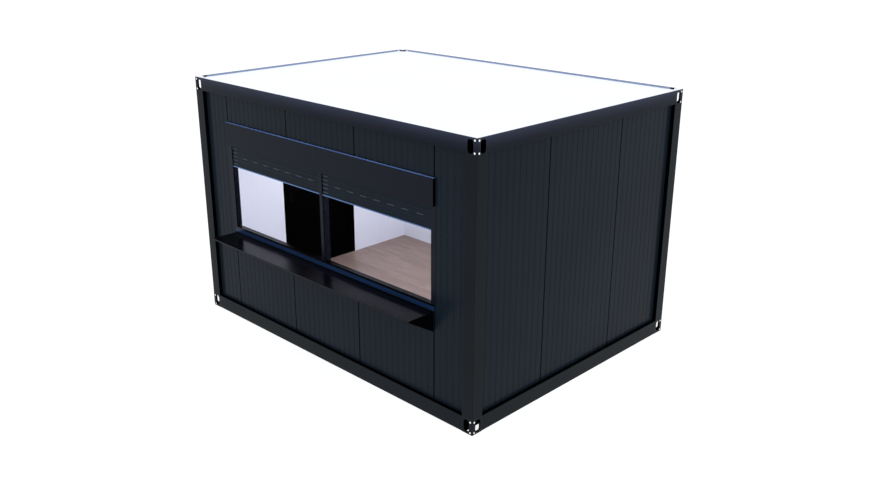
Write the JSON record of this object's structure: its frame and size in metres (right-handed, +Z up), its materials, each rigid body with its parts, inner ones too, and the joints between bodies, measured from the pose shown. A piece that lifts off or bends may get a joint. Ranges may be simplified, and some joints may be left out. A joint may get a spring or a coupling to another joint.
{
  "type": "sales container",
  "caption": "Steel-framed box cabin with sandwich panel walls, a wide serving window under roller shutters, a fold-plate counter shelf, corner lifting fittings and an end door.",
  "frame": {"origin": "centre of the base frame's outline, on the ground", "axes": "+Z up, -Y out of the serving front, -X out of the door end"},
  "size_m": [4, 3.258, 2.6],
  "materials": {
    "frame_paint": "satin anthracite paint on folded steel",
    "fitting_paint": "satin anthracite paint on plate",
    "galvanised": "galvanised steel",
    "floor_board": "plywood board",
    "floor_covering": "grey-brown wood-look planks, matt",
    "ceiling_skin": "white coated steel",
    "roof_white": "white coated steel, matt",
    "wall_panel": "anthracite coated steel outside, white inside",
    "window_frame": "glossy dark blue-grey paint",
    "shutter_paint": "satin anthracite paint on aluminium",
    "shelf_paint": "glossy near-black paint on steel sheet",
    "door_paint": "matt black paint",
    "handle_metal": "black satin metal"
  },
  "bodies": {
    "container": {"base_rail_front": "frame_paint", "base_rail_back": "frame_paint", "base_rail_left": "frame_paint", "base_rail_right": "frame_paint", "top_rail_front": "frame_paint", "top_rail_back": "frame_paint", "top_rail_left": "frame_paint", "top_rail_right": "frame_paint", "corner_post_front_left": "frame_paint", "corner_post_front_right": "frame_paint", "corner_post_back_left": "frame_paint", "corner_post_back_right": "frame_paint", "bottom_fittings": "fitting_paint", "top_fittings": "fitting_paint", "floor_underside": "galvanised", "floor_joists": "galvanised", "roof_joists": "galvanised", "floor_board": "floor_board", "floor_covering": "floor_covering", "ceiling": "ceiling_skin", "roof_deck": "roof_white", "roof_corner_caps": "roof_white", "front_wall_left": "wall_panel", "front_wall_right": "wall_panel", "front_wall_below": "wall_panel", "front_wall_above": "wall_panel", "back_wall": "wall_panel", "right_wall": "wall_panel", "left_wall_back": "wall_panel", "left_wall_front": "wall_panel", "left_wall_over_door": "wall_panel", "window_sill": "window_frame", "shutter_guides": "window_frame", "window_mullion": "window_frame", "shutter_box_left": "shutter_paint", "shutter_box_right": "shutter_paint", "shutter_curtain_left": "shutter_paint", "shutter_curtain_right": "shutter_paint", "shutter_rolls": "shutter_paint", "counter_shelf": "shelf_paint", "counter_gussets": "shelf_paint", "door_frame": "door_paint", "door_hinges_fixed": "handle_metal"},
    "door": {"door_leaf": "door_paint", "door_handle": "handle_metal", "door_hinges_moving": "handle_metal"}
  },
  "joints": [
    {"name": "door_hinge", "type": "hinge", "parent": "container", "child": "door", "pos_m": [-1.975, 0.477, 0], "axis": [0, 0, -1], "range_deg": [0, 110]}
  ]
}
